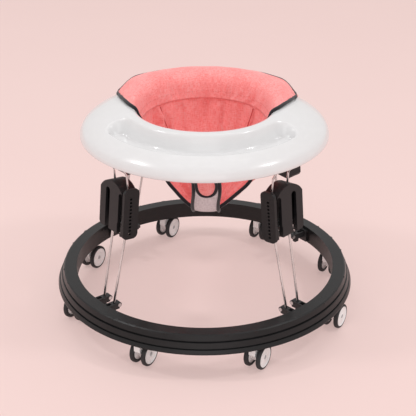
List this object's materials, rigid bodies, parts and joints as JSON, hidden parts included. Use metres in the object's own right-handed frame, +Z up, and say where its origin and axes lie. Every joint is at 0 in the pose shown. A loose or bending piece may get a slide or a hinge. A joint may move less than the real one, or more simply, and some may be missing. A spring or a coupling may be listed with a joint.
{
  "type": "baby walker",
  "caption": "Round baby walker: ring base on twin-wheel swivel casters, folding wire legs with height blocks, domed tray with a trough, hanging fabric seat.",
  "frame": {"origin": "on the floor under the centre of the base ring, where the wheels stand", "axes": "+Z up, -Y the front where the tray's trough is, +X the child's left; node names say left and right as seen from in front"},
  "size_m": [0.5999, 0.6, 0.4471],
  "materials": {
    "ring_plastic": "satin moulded black, fine grain",
    "black_plastic": "matt moulded black",
    "steel_pins": "plain steel",
    "tray_plastic": "glossy white",
    "seat_fabric": "coral heathered weave",
    "strap_fabric": "pale grey weave with black edging",
    "pad_fabric": "coral heathered weave over padding",
    "caster_plastic": "white moulded",
    "wheel_rubber": "black tread moulded on a white disc",
    "leg_wire": "chrome plated wire",
    "block_plastic": "matt black, fine grain"
  },
  "bodies": {
    "base": {"base_ring": "ring_plastic", "foot_brackets": "black_plastic", "foot_pins": "steel_pins"},
    "caster_1": {"caster_1_fork": "caster_plastic", "caster_1_pins": "steel_pins"},
    "caster_1_wheel_left": {"caster_1_wheel_left": "wheel_rubber"},
    "caster_1_wheel_right": {"caster_1_wheel_right": "wheel_rubber"},
    "caster_2": {"caster_2_fork": "caster_plastic", "caster_2_pins": "steel_pins"},
    "caster_2_wheel_left": {"caster_2_wheel_left": "wheel_rubber"},
    "caster_2_wheel_right": {"caster_2_wheel_right": "wheel_rubber"},
    "caster_3": {"caster_3_fork": "caster_plastic", "caster_3_pins": "steel_pins"},
    "caster_3_wheel_left": {"caster_3_wheel_left": "wheel_rubber"},
    "caster_3_wheel_right": {"caster_3_wheel_right": "wheel_rubber"},
    "caster_4": {"caster_4_fork": "caster_plastic", "caster_4_pins": "steel_pins"},
    "caster_4_wheel_left": {"caster_4_wheel_left": "wheel_rubber"},
    "caster_4_wheel_right": {"caster_4_wheel_right": "wheel_rubber"},
    "caster_5": {"caster_5_fork": "caster_plastic", "caster_5_pins": "steel_pins"},
    "caster_5_wheel_left": {"caster_5_wheel_left": "wheel_rubber"},
    "caster_5_wheel_right": {"caster_5_wheel_right": "wheel_rubber"},
    "caster_6": {"caster_6_fork": "caster_plastic", "caster_6_pins": "steel_pins"},
    "caster_6_wheel_left": {"caster_6_wheel_left": "wheel_rubber"},
    "caster_6_wheel_right": {"caster_6_wheel_right": "wheel_rubber"},
    "caster_7": {"caster_7_fork": "caster_plastic", "caster_7_pins": "steel_pins"},
    "caster_7_wheel_left": {"caster_7_wheel_left": "wheel_rubber"},
    "caster_7_wheel_right": {"caster_7_wheel_right": "wheel_rubber"},
    "caster_8": {"caster_8_fork": "caster_plastic", "caster_8_pins": "steel_pins"},
    "caster_8_wheel_left": {"caster_8_wheel_left": "wheel_rubber"},
    "caster_8_wheel_right": {"caster_8_wheel_right": "wheel_rubber"},
    "front_left_lower_leg": {"front_left_lower_wire": "leg_wire", "front_left_foot_sleeves": "black_plastic"},
    "front_left_knee_shoe": {"front_left_knee_shoe": "black_plastic"},
    "front_left_upper_leg": {"front_left_height_block": "block_plastic", "front_left_upper_wire": "leg_wire"},
    "front_right_lower_leg": {"front_right_lower_wire": "leg_wire", "front_right_foot_sleeves": "black_plastic"},
    "front_right_knee_shoe": {"front_right_knee_shoe": "black_plastic"},
    "front_right_upper_leg": {"front_right_height_block": "block_plastic", "front_right_upper_wire": "leg_wire"},
    "rear_left_lower_leg": {"rear_left_lower_wire": "leg_wire", "rear_left_foot_sleeves": "black_plastic"},
    "rear_left_knee_shoe": {"rear_left_knee_shoe": "black_plastic"},
    "rear_left_upper_leg": {"rear_left_height_block": "block_plastic", "rear_left_upper_wire": "leg_wire"},
    "rear_right_lower_leg": {"rear_right_lower_wire": "leg_wire", "rear_right_foot_sleeves": "black_plastic"},
    "rear_right_knee_shoe": {"rear_right_knee_shoe": "black_plastic"},
    "rear_right_upper_leg": {"rear_right_height_block": "block_plastic", "rear_right_upper_wire": "leg_wire"},
    "tray": {"tray_shell": "tray_plastic", "tray_clips": "black_plastic", "seat_cloth": "seat_fabric", "crotch_strap": "strap_fabric", "seat_rear_pad": "pad_fabric"}
  },
  "joints": [
    {"name": "caster_1_swivel", "type": "hinge", "parent": "base", "child": "caster_1", "pos_m": [0.10677, -0.25776, 0.07], "axis": [0, 0, 1], "continuous": true},
    {"name": "caster_1_roll_left", "type": "hinge", "parent": "caster_1", "child": "caster_1_wheel_left", "pos_m": [0.10148, -0.24038, 0.025], "axis": [0.8878, -0.4602, 0], "continuous": true},
    {"name": "caster_1_roll_right", "type": "hinge", "parent": "caster_1", "child": "caster_1_wheel_right", "pos_m": [0.12403, -0.25206, 0.025], "axis": [0.8878, -0.4602, 0], "continuous": true},
    {"name": "caster_2_swivel", "type": "hinge", "parent": "base", "child": "caster_2", "pos_m": [0.25776, -0.10677, 0.07], "axis": [0, 0, 1], "continuous": true},
    {"name": "caster_2_roll_left", "type": "hinge", "parent": "caster_2", "child": "caster_2_wheel_left", "pos_m": [0.25247, -0.08938, 0.025], "axis": [0.8878, -0.4602, 0], "continuous": true},
    {"name": "caster_2_roll_right", "type": "hinge", "parent": "caster_2", "child": "caster_2_wheel_right", "pos_m": [0.27502, -0.10107, 0.025], "axis": [0.8878, -0.4602, 0], "continuous": true},
    {"name": "caster_3_swivel", "type": "hinge", "parent": "base", "child": "caster_3", "pos_m": [0.25776, 0.10677, 0.07], "axis": [0, 0, 1], "continuous": true},
    {"name": "caster_3_roll_left", "type": "hinge", "parent": "caster_3", "child": "caster_3_wheel_left", "pos_m": [0.25247, 0.12416, 0.025], "axis": [0.8878, -0.4602, 0], "continuous": true},
    {"name": "caster_3_roll_right", "type": "hinge", "parent": "caster_3", "child": "caster_3_wheel_right", "pos_m": [0.27502, 0.11247, 0.025], "axis": [0.8878, -0.4602, 0], "continuous": true},
    {"name": "caster_4_swivel", "type": "hinge", "parent": "base", "child": "caster_4", "pos_m": [0.10677, 0.25776, 0.07], "axis": [0, 0, 1], "continuous": true},
    {"name": "caster_4_roll_left", "type": "hinge", "parent": "caster_4", "child": "caster_4_wheel_left", "pos_m": [0.10148, 0.27515, 0.025], "axis": [0.8878, -0.4602, 0], "continuous": true},
    {"name": "caster_4_roll_right", "type": "hinge", "parent": "caster_4", "child": "caster_4_wheel_right", "pos_m": [0.12403, 0.26346, 0.025], "axis": [0.8878, -0.4602, 0], "continuous": true},
    {"name": "caster_5_swivel", "type": "hinge", "parent": "base", "child": "caster_5", "pos_m": [-0.10677, 0.25776, 0.07], "axis": [0, 0, 1], "continuous": true},
    {"name": "caster_5_roll_left", "type": "hinge", "parent": "caster_5", "child": "caster_5_wheel_left", "pos_m": [-0.11206, 0.27515, 0.025], "axis": [0.8878, -0.4602, 0], "continuous": true},
    {"name": "caster_5_roll_right", "type": "hinge", "parent": "caster_5", "child": "caster_5_wheel_right", "pos_m": [-0.08951, 0.26346, 0.025], "axis": [0.8878, -0.4602, 0], "continuous": true},
    {"name": "caster_6_swivel", "type": "hinge", "parent": "base", "child": "caster_6", "pos_m": [-0.25776, 0.10677, 0.07], "axis": [0, 0, 1], "continuous": true},
    {"name": "caster_6_roll_left", "type": "hinge", "parent": "caster_6", "child": "caster_6_wheel_left", "pos_m": [-0.26305, 0.12416, 0.025], "axis": [0.8878, -0.4602, 0], "continuous": true},
    {"name": "caster_6_roll_right", "type": "hinge", "parent": "caster_6", "child": "caster_6_wheel_right", "pos_m": [-0.2405, 0.11247, 0.025], "axis": [0.8878, -0.4602, 0], "continuous": true},
    {"name": "caster_7_swivel", "type": "hinge", "parent": "base", "child": "caster_7", "pos_m": [-0.25776, -0.10677, 0.07], "axis": [0, 0, 1], "continuous": true},
    {"name": "caster_7_roll_left", "type": "hinge", "parent": "caster_7", "child": "caster_7_wheel_left", "pos_m": [-0.26305, -0.08938, 0.025], "axis": [0.8878, -0.4602, 0], "continuous": true},
    {"name": "caster_7_roll_right", "type": "hinge", "parent": "caster_7", "child": "caster_7_wheel_right", "pos_m": [-0.2405, -0.10107, 0.025], "axis": [0.8878, -0.4602, 0], "continuous": true},
    {"name": "caster_8_swivel", "type": "hinge", "parent": "base", "child": "caster_8", "pos_m": [-0.10677, -0.25776, 0.07], "axis": [0, 0, 1], "continuous": true},
    {"name": "caster_8_roll_left", "type": "hinge", "parent": "caster_8", "child": "caster_8_wheel_left", "pos_m": [-0.11206, -0.24038, 0.025], "axis": [0.8878, -0.4602, 0], "continuous": true},
    {"name": "caster_8_roll_right", "type": "hinge", "parent": "caster_8", "child": "caster_8_wheel_right", "pos_m": [-0.08951, -0.25206, 0.025], "axis": [0.8878, -0.4602, 0], "continuous": true},
    {"name": "front_left_fold", "type": "hinge", "parent": "base", "child": "front_left_lower_leg", "pos_m": [-0.17056, -0.14827, 0.076], "axis": [-0.6561, 0.7547, 0], "range_deg": [0, 63], "deforming": ["seat_cloth", "crotch_strap"]},
    {"name": "front_left_knee", "type": "hinge", "parent": "front_left_lower_leg", "child": "front_left_knee_shoe", "pos_m": [-0.15773, -0.13712, 0.232], "axis": [0.6561, -0.7547, 0], "range_deg": [0, 126]},
    {"name": "front_left_height", "type": "slide", "parent": "front_left_knee_shoe", "child": "front_left_upper_leg", "axis": [0, 0, 1], "range_m": [-0.056, 0]},
    {"name": "front_right_fold", "type": "hinge", "parent": "base", "child": "front_right_lower_leg", "pos_m": [0.17056, -0.14827, 0.076], "axis": [-0.6561, -0.7547, 0], "range_deg": [0, 63]},
    {"name": "front_right_knee", "type": "hinge", "parent": "front_right_lower_leg", "child": "front_right_knee_shoe", "pos_m": [0.15773, -0.13712, 0.232], "axis": [0.6561, 0.7547, 0], "range_deg": [0, 126]},
    {"name": "front_right_height", "type": "slide", "parent": "front_right_knee_shoe", "child": "front_right_upper_leg", "axis": [0, 0, 1], "range_m": [-0.056, 0]},
    {"name": "rear_left_fold", "type": "hinge", "parent": "base", "child": "rear_left_lower_leg", "pos_m": [-0.17056, 0.14827, 0.076], "axis": [0.6561, 0.7547, 0], "range_deg": [0, 63]},
    {"name": "rear_left_knee", "type": "hinge", "parent": "rear_left_lower_leg", "child": "rear_left_knee_shoe", "pos_m": [-0.15773, 0.13712, 0.232], "axis": [-0.6561, -0.7547, 0], "range_deg": [0, 126]},
    {"name": "rear_left_height", "type": "slide", "parent": "rear_left_knee_shoe", "child": "rear_left_upper_leg", "axis": [0, 0, 1], "range_m": [-0.056, 0]},
    {"name": "rear_right_fold", "type": "hinge", "parent": "base", "child": "rear_right_lower_leg", "pos_m": [0.17056, 0.14827, 0.076], "axis": [0.6561, -0.7547, 0], "range_deg": [0, 63]},
    {"name": "rear_right_knee", "type": "hinge", "parent": "rear_right_lower_leg", "child": "rear_right_knee_shoe", "pos_m": [0.15773, 0.13712, 0.232], "axis": [-0.6561, 0.7547, 0], "range_deg": [0, 126]},
    {"name": "rear_right_height", "type": "slide", "parent": "rear_right_knee_shoe", "child": "rear_right_upper_leg", "axis": [0, 0, 1], "range_m": [-0.056, 0]},
    {"name": "tray_level", "type": "hinge", "parent": "front_left_upper_leg", "child": "tray", "pos_m": [-0.17056, -0.14827, 0.388], "axis": [-0.6561, 0.7547, 0], "range_deg": [0, 63]}
  ],
  "couplings": [
    {"joint": "front_left_knee", "follows": "front_left_fold", "ratio": 2},
    {"joint": "front_right_fold", "follows": "front_left_fold", "ratio": 1},
    {"joint": "front_right_height", "follows": "front_left_height", "ratio": 1},
    {"joint": "front_right_knee", "follows": "front_left_fold", "ratio": 2},
    {"joint": "rear_left_fold", "follows": "front_left_fold", "ratio": 1},
    {"joint": "rear_left_height", "follows": "front_left_height", "ratio": 1},
    {"joint": "rear_left_knee", "follows": "front_left_fold", "ratio": 2},
    {"joint": "rear_right_fold", "follows": "front_left_fold", "ratio": 1},
    {"joint": "rear_right_height", "follows": "front_left_height", "ratio": 1},
    {"joint": "rear_right_knee", "follows": "front_left_fold", "ratio": 2},
    {"joint": "tray_level", "follows": "front_left_fold", "ratio": 1}
  ]
}
